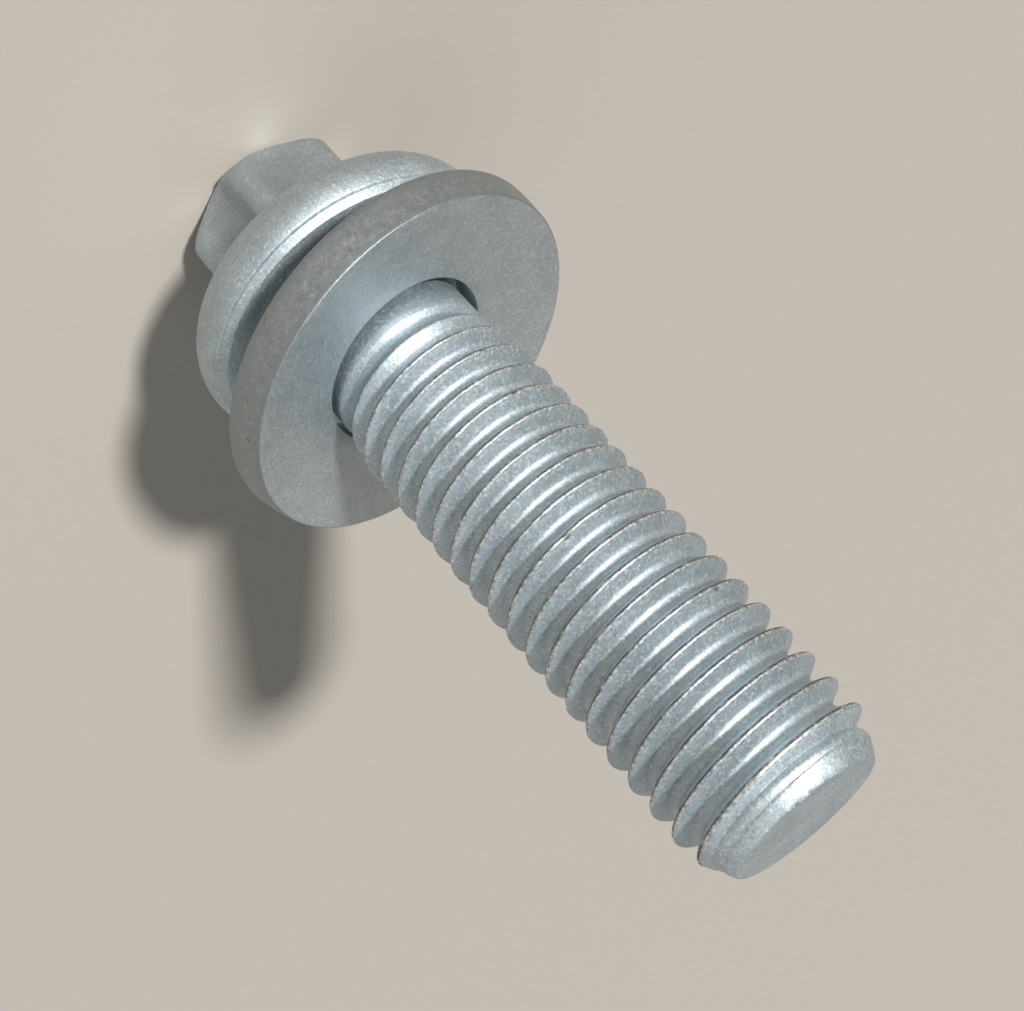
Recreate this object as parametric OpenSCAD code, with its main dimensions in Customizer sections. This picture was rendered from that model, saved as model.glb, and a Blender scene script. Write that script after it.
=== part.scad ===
// Flange bolt with an outside six-lobe drive and a loose coned washer held captive on its neck.
// Every module stands on the bolt's own axis: Z = 0 is the flange seat, the head is above it, the tip below.
// The finished part is turned over and stands on its head: its end is at Z = 0 and the tip is up.

/* [Thread] */
// Diameter over the thread crests
thread_diameter = 10; // [8:0.1:12]
// Advance of the thread in one turn
thread_pitch = 1.5; // [1:0.05:1.75]
// From the flange seat to the end of the tip
shank_length = 34.5; // [28:0.5:50]
// How far the flat end lies inside the crests, all round
tip_inset = 1.1; // [0.8:0.05:1.6]
// Length of the chamfer that leads the thread in
tip_chamfer = 1.9; // [1:0.1:2.5]

/* [Neck] */
// From the flange seat to the run-out of the thread
neck_length = 4.6; // [4.4:0.1:10]
// Length of the cone that runs from the neck down into the thread
runout_length = 1; // [0.8:0.1:3]
// Radius of the fillet between the neck and the flange seat
neck_fillet = 0.5; // [0.2:0.05:0.7]

/* [Flange] */
// Diameter over the rounded rim
flange_diameter = 17.9; // [16:0.1:19]
// Radius of the rim's round section
rim_radius = 2; // [1.6:0.05:2.4]
// Height of the widest place of the rim above the seat
rim_height = 1.5; // [1:0.05:1.55]
// Slope of the cone from the rim up to the head, degrees
flange_slope = 14; // [8:1:22]

/* [Head] */
// Diameter over the six lobes
lobe_diameter = 10.4; // [9.4:0.1:11.2]
// Diameter between opposite valleys
valley_diameter = 7.6; // [6.7:0.1:8]
// Radius of each lobe's ridge
lobe_radius = 0.8; // [0.6:0.05:1]
// From the flange seat to the end of the head
head_height = 10.7; // [9:0.1:13]
// Turn of the lobes round the axis, from +X, degrees
lobe_turn = 30; // [0:1:59]
// Diameter of the flat that the chamfer leaves on the end of the head
crown_flat = 7; // [6:0.1:7.4]
// Slope of that chamfer, which trims the lobes, degrees
crown_slope = 44; // [30:1:55]
// Diameter of the shallow dish in the end of the head
dish_diameter = 5; // [3:0.1:5.5]
// Depth of the dish
dish_depth = 0.4; // [0.2:0.05:0.8]

/* [Washer] */
// Diameter of the sharp edge that bears on the work
washer_diameter = 20.2; // [19:0.1:24]
// Thickness across the coned wall
washer_thickness = 2.3; // [1.8:0.05:2.4]
// How far the bearing edge stands below the edge of the hole
washer_cone = 0.9; // [0.4:0.05:1.2]
// How much smaller than the thread the hole is, which keeps the washer on the bolt
washer_catch = 0.22; // [0.1:0.02:0.4]
// Radius that the punch left on the washer's upper rim
washer_edge = 0.6; // [0.3:0.05:0.9]
// Clear height between the flange seat and the washer, on the axis
washer_slack = 1.65; // [1.2:0.05:1.7]
// Lean of the loose washer on the neck, degrees
washer_tilt = 7.5; // [0:0.5:8]
// Turn of that lean round the shank, from +X, degrees
washer_tilt_turn = 60; // [0:1:360]
// Gap left where the neck rests in the hole
washer_gap = 0.05; // [0.02:0.01:0.15]

/* [Hidden] */
$fn = 96;

bolt_grey = [0.66, 0.69, 0.71];
washer_grey = [0.60, 0.62, 0.63];

// Thread sizes that follow from the diameter and the pitch of a 60 degree profile
thread_radius = thread_diameter / 2;
thread_depth = 0.6134 * thread_pitch;
root_radius = thread_radius - thread_depth;
neck_radius = thread_radius - 0.3248 * thread_pitch;
// The ridges stand on a core that lies this far inside the shank, below the roots
core_sink = 0.3;
core_radius = root_radius - core_sink;
tip_radius = thread_radius - tip_inset;
tip_slope = tip_inset / tip_chamfer;

// The ridge in one pitch: [share of the pitch along the axis, share of the depth above the root]
ridge = [[0, 0], [0.17, 0], [0.52, 1], [0.65, 1]];
ridge_points = len(ridge);
thread_top = thread_pitch / 2 - neck_length;
thread_turns = ceil((shank_length + thread_top) / thread_pitch) + 2;
turn_steps = max(16, min(36, floor(1100 / thread_turns)));
thread_steps = turn_steps * thread_turns;
// Turn of the thread round the shank, from +X
thread_phase = 253;

// Lobes and valleys are arcs that meet in a line; the overlap lets them cross cleanly
lobe_centre = lobe_diameter / 2 - lobe_radius;
valley_edge = valley_diameter / 2;
valley_radius = (pow(lobe_centre, 2) + pow(valley_edge, 2) - pow(lobe_radius, 2)
    - 2 * lobe_centre * valley_edge * cos(30)) / (2 * (lobe_radius - valley_edge + lobe_centre * cos(30)));
valley_centre = valley_edge + valley_radius;
arc_overlap = 0.02;

// The chamfer starts this far outside the lobes, so that it trims every ridge in full
crown_margin = 0.2;
crown_edge = lobe_diameter / 2 + crown_margin;
crown_drop = (crown_edge - crown_flat / 2) * tan(crown_slope);
// How far the wall of the dish spreads over the dish's depth
dish_spread = 1;
rim_centre = flange_diameter / 2 - rim_radius;
slope_start = rim_centre + rim_radius * sin(flange_slope);
// The cone leaves the rim this far inside it, so that the two faces cross cleanly, and ends inside the head
slope_sink = 0.03;
slope_end = 1;
slope_base = rim_height + rim_radius * cos(flange_slope) - slope_sink;
slope_top = slope_base + (slope_start - slope_end) * tan(flange_slope);
// How far a shape reaches past the face that trims it
trim_over = 1;

// The washer's section leans by the cone's angle; its own zero is the centre of the hole's lower edge
hole_radius = thread_radius - washer_catch / 2;
washer_angle = atan2(washer_cone, washer_diameter / 2 - hole_radius);
washer_wall = [washer_thickness * sin(washer_angle), washer_thickness * cos(washer_angle)];
washer_along = [cos(washer_angle), -sin(washer_angle)];
washer_bearing = [washer_diameter / 2, -washer_cone];
washer_corner = washer_bearing + washer_wall;
washer_round = washer_corner - washer_edge * washer_along - washer_edge * washer_wall / washer_thickness;
washer_place = [hole_radius * cos(washer_tilt) - neck_radius - washer_gap, 0, -washer_slack - washer_wall.y];

// Points of an arc about a centre, from one angle to another
function arc(centre, radius, from, to, steps) = [for (i = [0:steps])
    let (a = from + (to - from) * i / steps) centre + radius * [cos(a), sin(a)]];

// One point of the thread's surface; the ridge grows out of the neck over the first turn
function thread_point(step, i) = let (
        grown = min(1, step / turn_steps),
        radius = core_radius + grown * (root_radius - core_radius + thread_depth * ridge[i][1]),
        angle = thread_phase - 360 * step / turn_steps)
    [radius * cos(angle), radius * sin(angle),
        thread_top - thread_pitch * (step / turn_steps + ridge[i][0])];
// Number of a point in the list, where the end of one turn's ridge is the start of the next turn's
function point_at(step, i) = i < ridge_points ? step * ridge_points + i : (step + turn_steps) * ridge_points;

// Outline of the six-lobe drive
module drive_outline() {
    difference() {
        union() {
            polygon([for (i = [0:5], side = [0, 1])
                let (angle = 60 * i + 30 * side, reach = side == 0 ? lobe_centre : valley_centre)
                    reach * [cos(angle), sin(angle)]]);
            for (i = [0:5])
                rotate(60 * i)
                    translate([lobe_centre, 0])
                        circle(lobe_radius + arc_overlap);
        }
        for (i = [0:5])
            rotate(60 * i + 30)
                translate([valley_centre, 0])
                    circle(valley_radius);
    }
}

// Six-lobe head, chamfered at its end and dished
module drive_head() {
    difference() {
        intersection() {
            translate([0, 0, rim_height])
                linear_extrude(head_height - rim_height + trim_over)
                    rotate(lobe_turn)
                        drive_outline();
            rotate_extrude()
                polygon([[0, 0], [crown_edge, 0], [crown_edge, head_height - crown_drop],
                    [crown_flat / 2, head_height], [0, head_height]]);
        }
        translate([0, 0, head_height - dish_depth])
            cylinder(h = 2 * dish_depth, d1 = dish_diameter - 2 * dish_spread,
                d2 = dish_diameter + 2 * dish_spread);
    }
}

// Flange: a round-sectioned rim, a flat seat below and a low cone up to the head
module flange() {
    rotate_extrude()
        intersection() {
            union() {
                translate([rim_centre, rim_height])
                    circle(rim_radius);
                polygon([[0, -trim_over], [rim_centre, -trim_over], [rim_centre, rim_height],
                    [slope_start, slope_base], [slope_end, slope_top], [0, slope_top]]);
            }
            square([flange_diameter, head_height]);
        }
}

// Plain neck, with a fillet under the seat and a cone into the thread
module neck() {
    rotate_extrude()
        polygon(concat([[0, rim_height], [neck_radius + neck_fillet, rim_height]],
            arc([neck_radius + neck_fillet, -neck_fillet], neck_fillet, 90, 180, 6),
            [[neck_radius, -neck_length], [core_radius, -neck_length - runout_length],
                [0, -neck_length - runout_length]]));
}

// Rolled thread on its core, right-handed, as one turn after another along the helix
module thread_helix() {
    points = [for (step = [0:thread_steps], i = [0:ridge_points - 1]) thread_point(step, i)];
    top = len(points);
    bottom = top + 1;
    last = ridge_points - 1;
    open_step = thread_steps - turn_steps;
    ends = [[0, 0, thread_top + thread_pitch / 2], [0, 0, thread_top - thread_pitch * (thread_turns + 1)]];
    sides = [for (step = [0:thread_steps - 1], i = [0:last])
        if (i < last || step < open_step)
            each [[point_at(step, i), point_at(step, i + 1), point_at(step + 1, i)],
                [point_at(step + 1, i), point_at(step, i + 1), point_at(step + 1, i + 1)]]];
    start_fan = [for (step = [0:turn_steps - 1]) [top, point_at(step, 0), point_at(step + 1, 0)]];
    start_step = [for (i = [0:last]) [top, point_at(0, i + 1), point_at(0, i)]];
    end_fan = [for (step = [open_step:thread_steps - 1])
        [bottom, point_at(step + 1, last), point_at(step, last)]];
    end_step = [for (i = [0:last - 1]) [bottom, point_at(thread_steps, i), point_at(thread_steps, i + 1)]];
    end_join = [[bottom, point_at(open_step, last), point_at(thread_steps, 0)]];
    polyhedron(concat(points, ends), concat(sides, start_fan, start_step, end_fan, end_step, end_join));
}

// What the chamfer and the flat end take off the thread
module tip_cutter() {
    reach = tip_chamfer + trim_over;
    outside = tip_radius + reach * tip_slope + trim_over;
    below = -shank_length - 4 * thread_pitch;
    rotate_extrude()
        polygon([[0, -shank_length], [tip_radius, -shank_length],
            [tip_radius + reach * tip_slope, reach - shank_length],
            [outside, reach - shank_length], [outside, below], [0, below]]);
}

// Bolt: one forging with a rolled thread
module bolt() {
    color(bolt_grey)
        union() {
            drive_head();
            flange();
            neck();
            difference() {
                thread_helix();
                tip_cutter();
            }
        }
}

// Washer: a thick punched ring pressed to a cone, hollow towards the tip
module washer() {
    section = concat([[hole_radius, 0], washer_bearing],
        arc(washer_round, washer_edge, -washer_angle, 90 - washer_angle, 6),
        [[hole_radius, 0] + washer_wall]);
    color(washer_grey)
        translate(washer_place)
            rotate([0, -washer_tilt, washer_tilt_turn])
                rotate_extrude()
                    polygon(section);
}

// Turns a piece over, head down, with the end of the head on the floor
module stand_on_head() {
    translate([0, 0, head_height])
        rotate([180, 0, 0])
            children();
}

stand_on_head() bolt();
stand_on_head() washer();
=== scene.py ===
import math

import bpy
from mathutils import Matrix, Vector, noise


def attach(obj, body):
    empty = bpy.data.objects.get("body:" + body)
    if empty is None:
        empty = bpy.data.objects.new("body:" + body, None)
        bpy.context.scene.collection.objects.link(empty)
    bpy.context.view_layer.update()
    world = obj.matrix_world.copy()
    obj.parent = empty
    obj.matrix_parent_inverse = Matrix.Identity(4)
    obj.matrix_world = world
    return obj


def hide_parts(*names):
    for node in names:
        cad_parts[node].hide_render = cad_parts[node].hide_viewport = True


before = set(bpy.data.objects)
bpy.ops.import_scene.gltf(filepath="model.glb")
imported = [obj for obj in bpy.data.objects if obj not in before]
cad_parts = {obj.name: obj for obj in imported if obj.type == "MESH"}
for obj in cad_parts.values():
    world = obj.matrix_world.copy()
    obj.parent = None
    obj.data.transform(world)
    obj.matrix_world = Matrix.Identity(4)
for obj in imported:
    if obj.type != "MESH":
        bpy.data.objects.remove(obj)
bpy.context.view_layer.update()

# Sizes in millimetres, in the frame of the bolt that stands on its head: Z = 0 is the end of the head
MM = 0.001
SEAT_Z = 10.7
TIP_Z = 45.2

# Rolled thread
CREST_R = 5.0
PITCH = 1.5
THREAD_DEPTH = 0.83
ROOT_R = CREST_R - THREAD_DEPTH
ROOT_ROUND = 0.38
CREST_ROUND = 0.14
THREAD_COLUMNS = 132

# Thread start: a ridge's foot passes this height at this turn in degrees
THREAD_FOOT_Z = SEAT_Z + 4.05
THREAD_FOOT_TURN = -205.0
RUNOUT_LENGTH = 2.7
RUNOUT_CONE = math.radians(36)
RUNOUT_RISE = 0.1

# Fine lap rolled along the crest: its offset, width and drift are shares of a pitch
LAP_OFF = 0.045
LAP_WIDTH = 0.018
LAP_DRIFT = 0.012
LAP_DEPTH = 0.05
CREST_WAVE = 0.012
CREST_WAVE_WIDTH = 0.09

# Plain neck, as thick as the thread's pitch line, and the strip at its end that is bridged to the thread
PITCH_LINE = 0.3248
NECK_R = CREST_R - PITCH_LINE * PITCH
NECK_END_Z = SEAT_Z + 4.6
NECK_FILLET = 0.5
NECK_COLUMNS = 264
BRIDGE = 0.4

# Tip: its flat end, its chamfer, and the last groove that rolling nearly shuts on the chamfer
TIP_R = 3.9
TIP_CHAMFER = 1.9
TIP_EDGE = 0.06
TIP_BLEND = 0.16
TIP_INSET = 0.2
GROOVE_SHUT = 0.9
GROOVE_LEFT = 0.05
BURR = 0.09
BURR_LENGTH = 0.35
BURR_AS_NICK = 12

# A corner of the thread that lies nearer to one of its ends than this is drawn to that end
SLIVER = 0.015

# Nicks in the thread's crests and in the tip's edge: turn in degrees, height, reach and depth.
# A nick has faded out at a few times its reach
NICK_END = 2.5
NICKS = [
    (26.1, 30.1, 0.30, 0.16), (67.8, 36.0, 0.24, 0.10), (62.3, 37.95, 0.24, 0.10),
    (-19.8, 36.0, 0.30, 0.14), (-9.6, 28.55, 0.22, 0.08), (-7.0, 22.3, 0.22, 0.08),
    (-8.4, 20.4, 0.20, 0.10), (12.0, TIP_Z, 0.15, 0.06), (141.0, 27.2, 0.26, 0.10),
    (212.0, 33.9, 0.28, 0.12), (286.0, 40.1, 0.24, 0.10),
]

# Flange: a cone, a rim of round section, and the fine crease rolled into it at an angle of that section
RIM_R = 2.0
RIM_SPINE_R = 6.95
RIM_SPINE_Z = SEAT_Z - 1.5
CONE_SLOPE = math.radians(14)
CONE_END_R = RIM_SPINE_R + RIM_R * math.sin(CONE_SLOPE)
CONE_END_Z = RIM_SPINE_Z - RIM_R * math.cos(CONE_SLOPE)
CREASE_ANGLE = 33.0
CREASE_REACH = 1.1
CREASE_DEPTH = 0.045
CREASE_LIP = 0.02
CREASE_LIP_OFF = 3.2
SEAT_ROW_RADII = (7.4, 6.2)

# Six-lobe head: round lobes and valleys, chamfered at its end and dished
LOBE_TIP_R = 5.2
LOBE_R = 0.8
LOBE_CENTRE = LOBE_TIP_R - LOBE_R
LOBE_TURN = -30.0
HALF_LOBE = 30.0
VALLEY_EDGE = 3.8
HEAD_FILLET = 0.55
CROWN_FLAT_R = 3.5
CROWN_SLOPE = math.radians(44)
CROWN_START_R = 3.2
CROWN_EDGE = 5.4
CROWN_DROP = (CROWN_EDGE - CROWN_FLAT_R) * math.tan(CROWN_SLOPE)
CROWN_BLEND = 0.35
CROWN_CORNER = 0.3
DISH_R = 2.5
DISH_FLOOR_R = 1.5
DISH_DEPTH = 0.4

# Washer, in its own frame: its zero is the centre of the hole's edge, its hollow side looks to the tip
HOLE_R = 4.89
HOLE_EDGE = 0.12
HOLE_EDGE_MIDDLE = 0.035
REAR_EDGE = 0.2
REAR_EDGE_MIDDLE = 0.06
WASHER_R = 10.1
WASHER_CONE = 0.9
WASHER_LEAN = math.atan2(WASHER_CONE, WASHER_R - HOLE_R)
WASHER_WALL = 2.3
WASHER_EDGE = 0.6
WASHER_LIP = 0.1
RIM_SKIN = 0.02
RIM_TEAR = 0.045
LIP_WEAR = 0.05
LIP_WEAR_REACH = 0.16
WASHER_COLUMNS = 420

# Place of the washer's zero on the bolt, and its axis, which is tilted towards a turn
WASHER_PLACE = Vector((0.285365, 0.0, SEAT_Z + 3.91643))
WASHER_TILT = math.radians(7.5)
WASHER_TILT_TURN = math.radians(-60)
WASHER_AXIS = Vector((math.sin(WASHER_TILT) * math.cos(WASHER_TILT_TURN),
                      math.sin(WASHER_TILT) * math.sin(WASHER_TILT_TURN),
                      math.cos(WASHER_TILT)))

# Edges that turn by more than this stay sharp
SHARP = math.radians(38)


# Small helpers for modelling

def draw_section(name, points):
    """Draws a section through the axis, [radius, height] in mm, by pulling a vertex from point to point."""
    bpy.ops.object.select_all(action="DESELECT")
    bpy.ops.mesh.primitive_plane_add(size=MM, location=(0, 0, 0))
    piece = bpy.context.active_object
    piece.name = piece.data.name = name
    edit(piece)
    bpy.ops.mesh.merge(type="CENTER")
    corners = [Vector((r * MM, 0.0, z * MM)) for r, z in points]
    bpy.ops.transform.translate(value=corners[0])
    for last, corner in zip(corners, corners[1:]):
        bpy.ops.mesh.extrude_vertices_move(TRANSFORM_OT_translate={"value": corner - last})
    done()
    return piece


def edit(piece, select=True):
    """Opens a piece in edit mode, with all of it selected or nothing."""
    bpy.ops.object.select_all(action="DESELECT")
    piece.select_set(True)
    bpy.context.view_layer.objects.active = piece
    bpy.ops.object.mode_set(mode="EDIT")
    bpy.ops.mesh.select_mode(type="VERT")
    bpy.ops.mesh.select_all(action="SELECT" if select else "DESELECT")


def done():
    bpy.ops.object.mode_set(mode="OBJECT")


def weld(distance):
    """Merges what is selected and lies closer together than a distance in mm."""
    bpy.ops.mesh.remove_doubles(threshold=distance * MM)


def turn_section(piece, steps):
    """Spins the drawn section once round the Z axis and closes the seam and the poles."""
    edit(piece)
    bpy.ops.mesh.spin(steps=steps, angle=2 * math.pi, center=(0, 0, 0), axis=(0, 0, 1))
    bpy.ops.mesh.select_all(action="SELECT")
    weld(0.0005)
    bpy.ops.mesh.normals_make_consistent(inside=False)
    done()


def select_level(piece, height):
    """Selects the ring of vertices that lies at a height."""
    bpy.ops.mesh.select_all(action="DESELECT")
    bpy.ops.object.mode_set(mode="OBJECT")
    for corner in piece.data.vertices:
        corner.select = abs(corner.co.z / MM - height) < 0.001
    bpy.ops.object.mode_set(mode="EDIT")


def on_circle(centre, radius, angle):
    """Point of a circle at an angle in degrees."""
    a = math.radians(angle)
    return centre[0] + radius * math.cos(a), centre[1] + radius * math.sin(a)


def arc(centre, radius, start, end, steps):
    """Points of an arc from one angle to another, in degrees."""
    return [on_circle(centre, radius, start + (end - start) * i / steps) for i in range(steps + 1)]


def at_turn(radius, turn, height):
    """Place in metres at a radius and a height in mm and a turn round the axis."""
    return Vector((radius * math.cos(turn), radius * math.sin(turn), height)) * MM


def smooth_step(low, high, value):
    """Rises smoothly from 0 at the low value to 1 at the high one."""
    t = min(1.0, max(0.0, (value - low) / (high - low)))
    return t * t * (3 - 2 * t)


def soft_min(a, b, blend):
    """The smaller of two sizes, with the corner between them rounded."""
    h = max(blend - abs(a - b), 0.0) / blend
    return min(a, b) - h * h * blend / 4


# Head, flange and neck of the bolt

def lobe_outline(turn):
    """Radius of the head's outline at a turn in degrees, on a round lobe or in the valley beside it."""
    lobe_reach = LOBE_CENTRE * math.cos(math.radians(HALF_LOBE))
    valley_r = LOBE_CENTRE ** 2 + VALLEY_EDGE ** 2 - LOBE_R ** 2 - 2 * VALLEY_EDGE * lobe_reach
    valley_r /= 2 * (LOBE_R - VALLEY_EDGE + lobe_reach)
    from_lobe = abs((turn - LOBE_TURN + HALF_LOBE) % (2 * HALF_LOBE) - HALF_LOBE)
    lobe = circle_crossing(LOBE_CENTRE, LOBE_R, from_lobe, 1)
    valley = circle_crossing(VALLEY_EDGE + valley_r, valley_r, HALF_LOBE - from_lobe, -1)
    return min(lobe, valley)


def circle_crossing(centre, radius, off, side):
    """Distance from the axis to a circle's far (1) or near (-1) side, off degrees beside its centre."""
    off = math.radians(off)
    half_chord = radius ** 2 - (centre * math.sin(off)) ** 2
    if half_chord <= 0:
        return math.inf
    return centre * math.cos(off) + side * math.sqrt(half_chord)


def head_stations():
    """Stations of the lobed head, from its dished end to the flange's cone.

    Each station gives the head's [radius, height] where the lobes' outline has a given radius.
    """
    dish = [(0.0, DISH_DEPTH), (DISH_FLOOR_R - 0.7, DISH_DEPTH), (DISH_FLOOR_R - 0.1, DISH_DEPTH - 0.03),
            (DISH_FLOOR_R + 0.1, DISH_DEPTH - 0.09), (DISH_R - 0.2, 0.09), (DISH_R - 0.05, 0.03),
            (DISH_R + 0.15, 0.0), (DISH_R + 0.5, 0.0)]
    crown_rows = 18
    wall_rows = 10
    fillet_rows = 6
    cone_rows = 5
    for r, z in dish:
        yield lambda outline, r=r, z=z: (r, z)
    for i in range(crown_rows + 1):
        r = CROWN_START_R + (CROWN_EDGE - CROWN_START_R) * i / crown_rows
        z = -soft_min(0.0, (CROWN_FLAT_R - r) * math.tan(CROWN_SLOPE), CROWN_CORNER)
        yield lambda outline, r=r, z=z: (soft_min(r, outline, CROWN_BLEND), z)
    for i in range(1, wall_rows + 1):
        yield lambda outline, share=i / wall_rows: wall_point(outline, share)
    for i in range(1, fillet_rows + 1):
        yield lambda outline, share=i / fillet_rows: fillet_point(outline, share)
    for i in range(1, cone_rows):
        yield lambda outline, share=i / cone_rows: cone_point(outline, share)


def wall_r(outline):
    """Radius of the head's straight wall."""
    return soft_min(CROWN_EDGE, outline, CROWN_BLEND)


def wall_point(outline, share):
    """Point of the straight wall, at a share of the way from the chamfer to the fillet."""
    return wall_r(outline), CROWN_DROP + share * (fillet_z(outline) - CROWN_DROP)


def fillet_z(outline):
    """Height at which the head's wall starts to curve out into the cone."""
    return cone_z(outline + HEAD_FILLET) - HEAD_FILLET / math.cos(CONE_SLOPE)


def fillet_point(outline, share):
    """Point of the fillet between the head's wall and the cone."""
    centre = (wall_r(outline) + HEAD_FILLET, fillet_z(outline))
    return on_circle(centre, HEAD_FILLET, 180 - (90 - math.degrees(CONE_SLOPE)) * share)


def cone_z(radius):
    """Height of the flange's cone at a radius."""
    return CONE_END_Z - (CONE_END_R - radius) * math.tan(CONE_SLOPE)


def cone_point(outline, share):
    """Point of the flange's cone, at a share of the way from the fillet to the rim."""
    start = outline + HEAD_FILLET * (1 - math.sin(CONE_SLOPE))
    r = start + share * (CONE_END_R - start)
    return r, cone_z(r)


def rim_section():
    """Section of the rim, the seat, the fillet and the neck, with the fine crease in the rim."""
    spine = (RIM_SPINE_R, RIM_SPINE_Z)
    points = []
    for angle in [*range(-76, 29, 6), *range(29, 39), *range(41, 50, 3)]:
        from_crease = angle - CREASE_ANGLE
        groove = CREASE_DEPTH * math.exp(-(from_crease / CREASE_REACH) ** 2)
        lip = CREASE_LIP * math.exp(-((from_crease - CREASE_LIP_OFF) / (2 * CREASE_REACH)) ** 2)
        points.append(on_circle(spine, RIM_R - groove + lip - CREASE_LIP, angle))
    seat_edge_r = RIM_SPINE_R + RIM_R * math.cos(math.asin((SEAT_Z - RIM_SPINE_Z) / RIM_R))
    points += [(seat_edge_r, SEAT_Z - 0.02), (seat_edge_r - 0.03, SEAT_Z)]
    points += [(r, SEAT_Z) for r in SEAT_ROW_RADII]
    neck_start = SEAT_Z + NECK_FILLET
    points += arc((NECK_R + NECK_FILLET, neck_start), NECK_FILLET, 270, 180, 8)
    neck_rows = 5
    row = (NECK_END_Z - BRIDGE - neck_start) / neck_rows
    points += [(NECK_R, neck_start + row * (i + 1)) for i in range(neck_rows)]
    return points


def model_head_and_neck():
    """The forged end: lobed head, flange and neck, spun round and then drawn in to the lobes."""
    stations = list(head_stations())
    section = [station(CROWN_EDGE) for station in stations] + rim_section()
    piece = draw_section("bolt_forging", section)
    turn_section(piece, NECK_COLUMNS)
    for corner in piece.data.vertices:
        x, y, z = corner.co / MM
        r = math.hypot(x, y)
        number = min(range(len(section)), key=lambda i: abs(section[i][0] - r) + abs(section[i][1] - z))
        if 0 < number < len(stations):
            turn = math.atan2(y, x)
            r, z = stations[number](lobe_outline(math.degrees(turn)))
            corner.co = at_turn(r, turn, z)
    return piece


# Thread of the bolt

def ridge_section():
    """One pitch of the rolled thread: root arc, flank, round crest, flank, root arc."""
    lean = flank_lean()
    root_height = ROOT_R + ROOT_ROUND
    crest_height = CREST_R - CREST_ROUND
    root = [(root_height + h, u) for u, h in arc((0, 0), ROOT_ROUND, 270, 360 - lean, 5)]
    crest = [(crest_height + h, PITCH / 2 + u) for u, h in arc((0, 0), CREST_ROUND, 180 - lean, lean, 10)]
    middle = tuple(Vector(root[-1]).lerp(Vector(crest[0]), 0.5))
    half = root + [middle]
    return half + crest + [(h, PITCH - u) for h, u in reversed(half)]


def flank_lean():
    """Lean of the flanks from square to the axis, in degrees, so that they run into both round edges."""
    rounds = ROOT_ROUND + CREST_ROUND
    lean = 0.5
    for _ in range(30):
        across = PITCH / 2 - rounds * math.cos(lean)
        deep = THREAD_DEPTH - rounds * (1 - math.sin(lean))
        lean = math.atan2(across, deep)
    return math.degrees(lean)


def crest_wear(place, turn):
    """How much lower the rolled crest lies at a place: a fine broken lap along it and small waves."""
    wound = (place.z - THREAD_FOOT_Z) / PITCH - (math.degrees(turn) - THREAD_FOOT_TURN) / 360
    off = wound % 1.0 - 0.5
    broken = smooth_step(-0.45, 0.05, noise.noise(place * 0.9))
    drift = LAP_DRIFT * noise.noise(place * 0.35)
    lap = LAP_DEPTH * broken * math.exp(-((off + LAP_OFF - drift) / LAP_WIDTH) ** 2)
    waves = CREST_WAVE * noise.noise(place * 2.3) * math.exp(-(off / CREST_WAVE_WIDTH) ** 2)
    return lap + waves


def nick_depth(place, turn, height):
    """Depth of the nicks at a place, and how far it is a nick; below the tip only crests have them."""
    depth = 0.0
    share = 0.0
    r = math.hypot(place.x, place.y)
    on_tip = height >= TIP_Z - TIP_CHAMFER
    ridge = 1.0 if on_tip else smooth_step(CREST_R - 0.35, CREST_R - 0.1, r)
    for nick_turn, nick_z, reach, deep in NICKS:
        across = math.radians((math.degrees(turn) - nick_turn + 180) % 360 - 180) * r
        away = math.hypot(across, height - nick_z) / reach
        if away < NICK_END:
            fade = ridge * math.exp(-away ** 2)
            depth += deep * fade
            share = max(share, fade)
    return depth, share


def run_out(radius, height):
    """Radius of the thread near the neck, where the first ridges aren't rolled to their full height."""
    grown = smooth_step(NECK_END_Z - 0.3, NECK_END_Z + RUNOUT_LENGTH, height)
    rolled = ROOT_R + grown * (radius - ROOT_R) + RUNOUT_RISE * (1 - grown)
    return max(rolled, NECK_R - (height - NECK_END_Z) * math.tan(RUNOUT_CONE))


def tip_outline(height):
    """Radius that the chamfer leaves at a height, with its edge to the flat end rounded over."""
    below = TIP_Z - height
    rounded = TIP_EDGE * max(0.0, 1 - below / (2 * TIP_EDGE)) ** 2
    return TIP_R + below * (CREST_R - TIP_R) / TIP_CHAMFER - rounded


def shut_groove(height):
    """Lowest radius of the last groove, which rolling nearly shuts on the chamfer."""
    shut = smooth_step(TIP_Z - TIP_CHAMFER, TIP_Z - GROOVE_SHUT, height)
    return min(CREST_R, tip_outline(height)) - THREAD_DEPTH * (1 - shut) - GROOVE_LEFT


def tip_burr(turn):
    """How far the sharp edge of the flat end is broken away at a turn."""
    round_edge = Vector((math.cos(turn), math.sin(turn), 0.0))
    return BURR * max(0.0, noise.noise(round_edge * 5.0) + 0.7 * noise.noise(round_edge * 11.0))


def worn_corner(place):
    """Radius, turn and height of a corner of the worn thread, and how far it is a nick."""
    turn = math.atan2(place.y, place.x)
    z = min(TIP_Z, max(NECK_END_Z, place.z))
    r = run_out(math.hypot(place.x, place.y) - crest_wear(place, turn), z)
    r = soft_min(max(r, shut_groove(z)), tip_outline(z), TIP_BLEND)
    ragged = tip_burr(turn)
    r -= ragged * smooth_step(TIP_Z - BURR_LENGTH, TIP_Z, z)
    depth, share = nick_depth(place, turn, z)
    r -= min(depth, max(0.0, r - ROOT_R))
    share = max(share, BURR_AS_NICK * ragged * smooth_step(TIP_Z - 0.2, TIP_Z - 0.05, z))
    if z > TIP_Z - SLIVER:
        r, z = tip_outline(TIP_Z) - ragged, TIP_Z
    if z < NECK_END_Z + SLIVER:
        r, z = NECK_R, NECK_END_Z
    return r, turn, z, share


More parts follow.
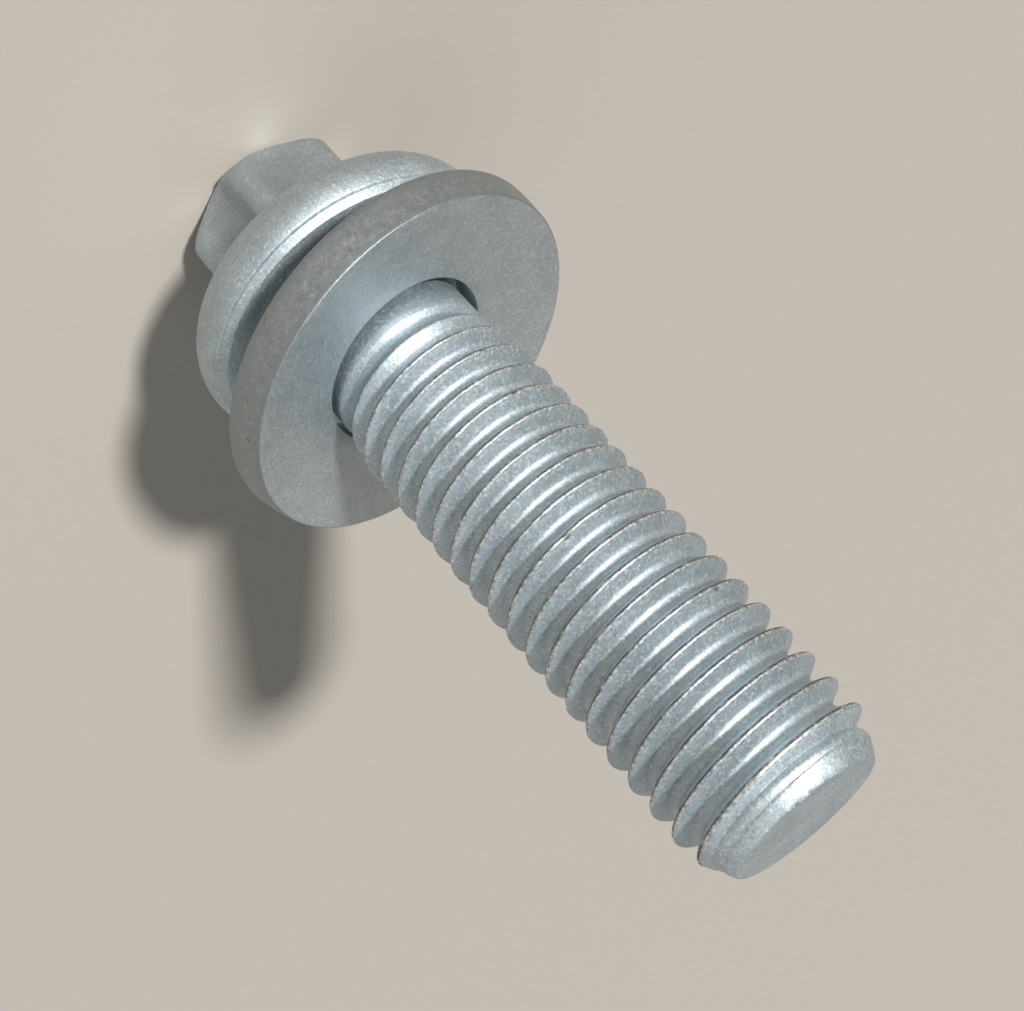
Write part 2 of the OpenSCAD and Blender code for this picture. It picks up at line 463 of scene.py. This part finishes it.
def model_thread():
    """The rolled thread: one pitch screwed up the shank, faded in at the neck, trimmed at the tip."""
    piece = draw_section("thread", ridge_section())
    start_turn = Matrix.Rotation(math.radians(THREAD_FOOT_TURN), 4, "Z")
    piece.data.transform(Matrix.Translation((0, 0, (THREAD_FOOT_Z - PITCH) * MM)) @ start_turn)
    screw = piece.modifiers.new("screw", "SCREW")
    screw.axis = "Z"
    screw.angle = 2 * math.pi
    screw.screw_offset = PITCH * MM
    screw.iterations = math.ceil((TIP_Z - THREAD_FOOT_Z) / PITCH) + 3
    screw.steps = screw.render_steps = THREAD_COLUMNS
    screw.use_normal_calculate = True
    bpy.ops.object.modifier_apply(modifier=screw.name)
    edit(piece)
    weld(0.0005)
    done()
    nicked = piece.data.attributes.new("nick", "FLOAT", "POINT")
    for corner in piece.data.vertices:
        r, turn, z, share = worn_corner(corner.co / MM)
        nicked.data[corner.index].value = share
        corner.co = at_turn(r, turn, z)
    edit(piece)
    weld(0.002)
    select_level(piece, TIP_Z)
    bpy.ops.mesh.edge_face_add()
    bpy.ops.mesh.inset(thickness=TIP_INSET * MM)
    done()
    return piece


def model_bolt():
    """Head, flange, neck and thread joined into one closed piece."""
    forging = model_head_and_neck()
    thread = model_thread()
    bpy.ops.object.select_all(action="DESELECT")
    thread.select_set(True)
    forging.select_set(True)
    bpy.context.view_layer.objects.active = forging
    bpy.ops.object.join()
    edit(forging, select=False)
    bpy.ops.mesh.select_mode(type="EDGE")
    bpy.ops.mesh.select_non_manifold(extend=False)
    bpy.ops.mesh.bridge_edge_loops()
    bpy.ops.mesh.select_all(action="SELECT")
    weld(0.0002)
    bpy.ops.mesh.normals_make_consistent(inside=False)
    done()
    bpy.ops.object.shade_smooth_by_angle(angle=SHARP)
    forging.name = "bolt_forging"
    return forging


# Washer

def washer_section():
    """Closed section of the coned washer, [radius, height], hollow towards the tip."""
    along = Vector((math.cos(WASHER_LEAN), math.sin(WASHER_LEAN)))
    back = Vector((math.sin(WASHER_LEAN), -math.cos(WASHER_LEAN)))
    hole = Vector((HOLE_R, 0.0))
    face = (Vector((WASHER_R, WASHER_CONE)) - hole).length
    straight = WASHER_WALL - WASHER_EDGE - WASHER_LIP
    rim_rows = 14
    points = [(0.0, HOLE_EDGE), (HOLE_EDGE_MIDDLE, HOLE_EDGE_MIDDLE), (HOLE_EDGE, 0.0)]
    points += [(face * share, 0.0) for share in (0.15, 0.3, 0.5, 0.7, 0.85, 0.95)]
    points += arc((face - WASHER_LIP, WASHER_LIP), WASHER_LIP, 270, 360, 4)
    points += [(face, WASHER_LIP + straight * (i + 1) / rim_rows) for i in range(rim_rows)]
    points += arc((face - WASHER_EDGE, WASHER_WALL - WASHER_EDGE), WASHER_EDGE, 0, 90, 8)[1:]
    points += [(face * share, WASHER_WALL) for share in (0.75, 0.5, 0.25)]
    points += [(REAR_EDGE, WASHER_WALL), (REAR_EDGE_MIDDLE, WASHER_WALL - REAR_EDGE_MIDDLE)]
    points += [(0.0, WASHER_WALL - REAR_EDGE)]
    points += [(0.0, WASHER_WALL * 0.7), (0.0, WASHER_WALL * 0.4), (0.0, HOLE_EDGE)]
    return [tuple(hole + along * out + back * deep) for out, deep in points]


def roughen_rim(piece):
    """The punch left the outer rim broken in its middle and uneven along the bearing edge."""
    for corner in piece.data.vertices:
        place = corner.co / MM
        r = math.hypot(place.x, place.y)
        turn = math.atan2(place.y, place.x)
        down = (r - WASHER_R) * math.sin(WASHER_LEAN) - (place.z - WASHER_CONE) * math.cos(WASHER_LEAN)
        on_rim = smooth_step(WASHER_R - 0.25, WASHER_R - 0.05, r)
        broken = smooth_step(0.2, 0.5, down) * (1 - smooth_step(1.2, 1.6, down))
        tear = noise.noise(place * 1.6) + 0.6 * noise.noise(place * 4.1)
        uneven = noise.noise(place * 1.2) + 0.5 * noise.noise(place * 3.3)
        edge = max(0.0, math.exp(-(down / LIP_WEAR_REACH) ** 2) * uneven)
        r -= on_rim * (RIM_SKIN + RIM_TEAR * broken * tear + LIP_WEAR * edge)
        corner.co = at_turn(r, turn, place.z)


def model_washer():
    """The loose washer: its section spun round, leaned and set on the neck."""
    piece = draw_section("washer_ring", washer_section())
    turn_section(piece, WASHER_COLUMNS)
    roughen_rim(piece)
    lean = WASHER_AXIS.to_track_quat("Z", "Y").to_matrix().to_4x4()
    piece.data.transform(Matrix.Translation(WASHER_PLACE * MM) @ lean)
    edit(piece)
    bpy.ops.mesh.normals_make_consistent(inside=False)
    done()
    bpy.ops.object.shade_smooth_by_angle(angle=SHARP)
    return piece


# Materials

# Coat on the bolt and on the washer: the even coat, its dark flakes and its light flakes
BOLT_COAT = ((0.53, 0.61, 0.66, 1), (0.35, 0.415, 0.455, 1), (0.76, 0.835, 0.885, 1))
WASHER_COAT = ((0.54, 0.60, 0.63, 1), (0.42, 0.47, 0.495, 1), (0.72, 0.77, 0.79, 1))

# Wear on the coat, and marks painted with light and shade: a dark line along the crests that is partly
# painted shadow, the head painted darker, and painted shade in the head's valleys
BARE_CREST = (0.84, 0.82, 0.80, 1)
PITTED_CREST = (0.20, 0.205, 0.21, 1)
# Dark line along the crests: the lap, and painted shadow that the crest throws on the groove behind it
LAP_AND_CREST_SHADOW = (0.10, 0.10, 0.10, 1)
CHIPPED = (0.12, 0.115, 0.11, 1)
# Colour that makes the head and flange darker than the shank
DARKER_HEAD = (0.30, 0.335, 0.345, 1)
# Painted shade for the head's valleys
VALLEY_PAINTED_SHADE = (0.16, 0.175, 0.18, 1)
RUBBED_FACE = (0.78, 0.82, 0.84, 1)
PUNCHED_RIM = (0.20, 0.225, 0.235, 1)
TORN_RIM = (0.52, 0.50, 0.465, 1)
RIM_PITS = (0.14, 0.135, 0.13, 1)

METALLIC = 0.85
GRAIN_HEIGHT = 0.03 * MM
STREAK_HEIGHT = 0.04 * MM


def add_node(tree, kind, inputs=(), output=0, **settings):
    """Adds a node, links or sets its inputs, and returns one of its outputs."""
    node = tree.nodes.new(kind)
    for key, value in settings.items():
        setattr(node, key, value)
    for key, value in dict(inputs).items():
        if isinstance(value, bpy.types.NodeSocket):
            tree.links.new(value, node.inputs[key])
        else:
            node.inputs[key].default_value = value
    return node.outputs[output]


class Nodes:
    """A short way to write a material's nodes: each call adds a node and returns its output."""

    def __init__(self, name):
        self.material = bpy.data.materials.new(name)
        self.material.use_nodes = True
        self.tree = self.material.node_tree
        self.shader = self.tree.nodes["Principled BSDF"]

    def add(self, kind, inputs=(), output=0, **settings):
        return add_node(self.tree, kind, inputs, output, **settings)

    def math(self, operation, *values):
        return self.add("ShaderNodeMath", dict(enumerate(values)), operation=operation)

    def times(self, a, b):
        return self.math("MULTIPLY", a, b)

    def place(self):
        return self.add("ShaderNodeTexCoord", output="Object")

    def axes(self, place):
        """X, Y and Z of a place."""
        return self.add("ShaderNodeSeparateXYZ", {0: place}).node.outputs[:3]

    def reach(self, x, y):
        """Distance from the axis."""
        return self.math("SQRT", self.math("ADD", self.math("POWER", x, 2.0), self.math("POWER", y, 2.0)))

    def noise(self, place, scale, detail, roughness):
        return self.add("ShaderNodeTexNoise", {"Vector": place, "Scale": scale, "Detail": detail,
                                               "Roughness": roughness}, "Fac")

    def drawn_out(self, across, along):
        """Noise whose grain is drawn out along a direction, from two scaled coordinates."""
        place = self.add("ShaderNodeCombineXYZ", {0: across, 1: along})
        return self.noise(place, scale=1.0, detail=3, roughness=0.6)

    def band(self, value, low, high, to_low=0.0, to_high=1.0):
        return self.add("ShaderNodeMapRange", {"Value": value, "From Min": low, "From Max": high,
                                               "To Min": to_low, "To Max": to_high},
                        interpolation_type="SMOOTHSTEP")

    def level(self, height, low, high, to_high=1.0):
        """Share by a size in mm, 0 at the low size and growing to the high one."""
        return self.band(height, low * MM, high * MM, 0.0, to_high)

    def mix(self, share, a, b):
        return self.add("ShaderNodeMix", {0: share, 6: a, 7: b}, 2, data_type="RGBA")

    def set(self, socket, value):
        if isinstance(value, bpy.types.NodeSocket):
            self.tree.links.new(value, self.shader.inputs[socket])
        else:
            self.shader.inputs[socket].default_value = value

    def bump(self, height, strength, distance, normal=None):
        inputs = {"Height": height, "Strength": strength, "Distance": distance}
        if normal is not None:
            inputs["Normal"] = normal
        return self.add("ShaderNodeBump", inputs)


def flake_coat(coat, place, colours):
    """Colour and grain of the matt zinc-flake coat: even grey with fine dark and light flakes."""
    base, dark, light = colours
    cloud = coat.noise(place, scale=500, detail=3, roughness=0.55)
    grain = coat.noise(place, scale=5200, detail=4, roughness=0.75)
    flakes = coat.noise(place, scale=8200, detail=2, roughness=0.6)
    colour = coat.mix(coat.band(cloud, 0.3, 0.7, 0.45, 1.0), dark, base)
    colour = coat.mix(coat.band(grain, 0.5, 0.66, 0.0, 0.75), colour, light)
    colour = coat.mix(coat.band(flakes, 0.47, 0.34, 0.0, 0.85), colour, dark)
    return colour, grain


def wound_thread(coat, x, y, z):
    """Place on the thread's helix: share of the pitch from root to root, and turns along the ridge."""
    turn = coat.math("DIVIDE", coat.math("ARCTAN2", y, x), 2 * math.pi)
    wound = coat.math("DIVIDE", coat.math("SUBTRACT", z, THREAD_FOOT_Z * MM), PITCH * MM)
    wound = coat.math("SUBTRACT", wound, coat.math("SUBTRACT", turn, THREAD_FOOT_TURN / 360))
    return coat.math("FRACT", wound), coat.math("ADD", coat.math("FLOOR", wound), turn)


def coated_bolt():
    """The bolt's coat: bare and pitted crests, a dark line along them that marks the lap and paints the
    crest's shadow, chipped nicks, the head painted darker, and painted shade in its valleys.
    """
    coat = Nodes("zinc_flake_bolt")
    place = coat.place()
    colour, grain = flake_coat(coat, place, BOLT_COAT)
    x, y, z = coat.axes(place)
    phase, along = wound_thread(coat, x, y, z)
    on_thread = coat.times(coat.level(z, NECK_END_Z + 0.4, NECK_END_Z + 2.2),
                           coat.level(z, TIP_Z - 0.6, TIP_Z - 1.3))
    streak = coat.drawn_out(coat.times(phase, 26.0), coat.times(along, 42.0))
    from_crest = coat.math("ABSOLUTE", coat.math("SUBTRACT", phase, 0.5))
    crest = coat.times(coat.band(from_crest, 0.095, 0.05), on_thread)
    worn = coat.times(crest, coat.band(streak, 0.46, 0.6))
    pitted = coat.times(crest, coat.band(grain, 0.53, 0.42))
    # A dark line just on the head side of each crest: it marks the lap and is also painted shadow of the
    # crest on the groove behind it
    from_lap = coat.math("ABSOLUTE", coat.math("SUBTRACT", phase, 0.5 - LAP_OFF))
    seam = coat.times(coat.band(from_lap, 0.052, 0.022), on_thread)
    seam = coat.times(seam, coat.band(streak, 0.68, 0.5))
    nick = coat.add("ShaderNodeAttribute", output="Fac", attribute_name="nick")
    chipped = coat.band(coat.math("ADD", nick, coat.times(grain, 0.5)), 0.72, 0.98)
    # Painted shade: the head's valleys are darkened by their distance from the axis, in place of the shade
    # that falls in them
    on_wall = coat.times(coat.level(z, 0.5, 1.5), coat.level(z, SEAT_Z, 7.0))
    valley = coat.times(on_wall, coat.level(coat.reach(x, y), 4.8, VALLEY_EDGE, 0.25))
    colour = coat.mix(coat.times(worn, 0.8), colour, BARE_CREST)
    colour = coat.mix(coat.times(pitted, 0.7), colour, PITTED_CREST)
    colour = coat.mix(coat.times(seam, 0.85), colour, LAP_AND_CREST_SHADOW)
    colour = coat.mix(coat.times(chipped, 0.7), colour, CHIPPED)
    # The head and flange are painted darker than the shank, fading in from the seat
    colour = coat.mix(coat.level(z, SEAT_Z - 0.4, SEAT_Z - 1.8, 0.3), colour, DARKER_HEAD)
    colour = coat.mix(valley, colour, VALLEY_PAINTED_SHADE)
    rough = coat.band(grain, 0.3, 0.7, 0.46, 0.60)
    rolled = coat.bump(coat.times(streak, crest), 0.6, STREAK_HEIGHT)
    coat.set("Base Color", colour)
    coat.set("Metallic", METALLIC)
    coat.set("Roughness", coat.math("SUBTRACT", rough, coat.times(worn, 0.1)))
    coat.set("Normal", coat.bump(grain, 0.8, GRAIN_HEIGHT, rolled))
    return coat.material


def coated_washer():
    """The washer's coat: faint rubbed rings on its face, a dark punched rim that is torn in its middle."""
    coat = Nodes("zinc_flake_washer")
    place = coat.place()
    colour, grain = flake_coat(coat, place, WASHER_COAT)
    lean = WASHER_AXIS.to_track_quat("Z", "Y").to_euler()
    own = coat.add("ShaderNodeMapping", {"Vector": place, "Location": WASHER_PLACE * MM, "Rotation": lean},
                   vector_type="TEXTURE")
    x, y, z = coat.axes(own)
    reach = coat.reach(x, y)
    rim = coat.level(reach, WASHER_R - 0.12, WASHER_R - 0.05)
    down = coat.math("SUBTRACT", WASHER_CONE * MM, z)
    middle = coat.times(coat.level(down, 0.15, 0.5), coat.level(down, 1.6, 1.1))
    torn = coat.noise(place, scale=2600, detail=6, roughness=0.8)
    broken = coat.times(coat.times(rim, middle), coat.band(torn, 0.46, 0.64))
    pitting = coat.noise(place, scale=3300, detail=3, roughness=0.6)
    pits = coat.times(rim, coat.band(pitting, 0.36, 0.28))
    rings = coat.drawn_out(coat.times(reach, 5200.0), coat.times(coat.math("ARCTAN2", y, x), 5.0))
    rubbed = coat.times(coat.band(rings, 0.60, 0.72), coat.level(reach, WASHER_R - 3.2, WASHER_R - 0.6))
    colour = coat.mix(coat.times(rubbed, 0.35), colour, RUBBED_FACE)
    colour = coat.mix(coat.times(rim, 0.7), colour, PUNCHED_RIM)
    colour = coat.mix(coat.times(broken, 0.35), colour, TORN_RIM)
    colour = coat.mix(coat.times(pits, 0.6), colour, RIM_PITS)
    coat.set("Base Color", colour)
    coat.set("Metallic", METALLIC)
    coat.set("Roughness", coat.band(grain, 0.3, 0.7, 0.44, 0.58))
    coat.set("Normal", coat.bump(grain, 0.7, GRAIN_HEIGHT))
    return coat.material


# Pieces of the object

bolt_piece = model_bolt()
bolt_piece.data.materials.clear()
bolt_piece.data.materials.append(coated_bolt())
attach(bolt_piece, "bolt")
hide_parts("bolt")

washer_piece = model_washer()
washer_piece.data.materials.clear()
washer_piece.data.materials.append(coated_washer())
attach(washer_piece, "washer")
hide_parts("washer")


# Floor, light and camera

FLOOR_COLOUR = (0.60, 0.55, 0.49, 1)
ROOM_COLOUR = (0.80, 0.77, 0.73, 1)
ROOM_LEVEL = 0.12
BACKDROP_COLOUR = (0.43, 0.393, 0.347, 1)

# Camera: place and target in mm, roll in degrees
CAMERA_PLACE = Vector((56.6881, 31.7063, 56.7518))
CAMERA_TARGET = Vector((-4.1199, -1.4452, 22.6))
CAMERA_ROLL = 138.962
CAMERA_LENS = 52.195


def pale_floor():
    """A floor so wide that its edge is never seen."""
    bpy.ops.object.select_all(action="DESELECT")
    bpy.ops.mesh.primitive_plane_add(size=60.0, location=(0, 0, 0))
    floor = bpy.context.active_object
    floor.name = "pale_floor"
    paint = Nodes("pale_floor")
    paint.set("Base Color", FLOOR_COLOUR)
    paint.set("Roughness", 0.9)
    floor.data.materials.append(paint.material)


def soft_lamp(name, turn, height, spread, level, colour):
    """A far soft lamp, by its turn, height and spread in degrees; level 1 lights white fully."""
    data = bpy.data.lights.new(name, "SUN")
    data.angle = math.radians(spread)
    data.energy = level * math.pi
    data.color = colour
    lamp = bpy.data.objects.new(name, data)
    bpy.context.scene.collection.objects.link(lamp)
    out, up = on_circle((0, 0), 1.0, height)
    x, y = on_circle((0, 0), out, turn)
    towards = Vector((x, y, up))
    lamp.location = towards
    lamp.rotation_euler = towards.to_track_quat("Z", "Y").to_euler()


def studio_light():
    """A dim even room with a pale backdrop that is seen and mirrored, a key lamp and a soft fill."""
    world = bpy.data.worlds.new("studio")
    world.use_nodes = True
    tree = world.node_tree
    room = tree.nodes["Background"]
    room.inputs["Color"].default_value = ROOM_COLOUR
    room.inputs["Strength"].default_value = ROOM_LEVEL
    backdrop = add_node(tree, "ShaderNodeBackground", {"Color": BACKDROP_COLOUR})
    path = add_node(tree, "ShaderNodeLightPath").node.outputs
    seen = path["Is Camera Ray"]
    for ray in ("Is Glossy Ray", "Is Transmission Ray"):
        seen = add_node(tree, "ShaderNodeMath", {0: seen, 1: path[ray]}, operation="MAXIMUM")
    either = add_node(tree, "ShaderNodeMixShader", {0: seen, 1: room.outputs[0], 2: backdrop})
    tree.links.new(either, tree.nodes["World Output"].inputs["Surface"])
    bpy.context.scene.world = world
    soft_lamp("key", turn=0, height=39, spread=6, level=1.1, colour=(1.0, 0.99, 0.97))
    soft_lamp("sky_fill", turn=105, height=60, spread=60, level=0.15, colour=(0.82, 0.93, 1.0))


def photo_camera():
    """The camera at the photograph's view of the bolt, rolled because the bolt stands here."""
    data = bpy.data.cameras.new("camera")
    data.sensor_width = 36.0
    data.lens = CAMERA_LENS
    data.clip_start = 0.001
    camera = bpy.data.objects.new("camera", data)
    bpy.context.scene.collection.objects.link(camera)
    place = CAMERA_PLACE * MM
    level = (CAMERA_TARGET * MM - place).to_track_quat("-Z", "Y").to_matrix().to_4x4()
    roll = Matrix.Rotation(math.radians(CAMERA_ROLL), 4, "Z")
    camera.matrix_world = Matrix.Translation(place) @ level @ roll
    bpy.context.scene.camera = camera


pale_floor()
studio_light()
photo_camera()
bpy.context.scene.view_settings.view_transform = "Standard"
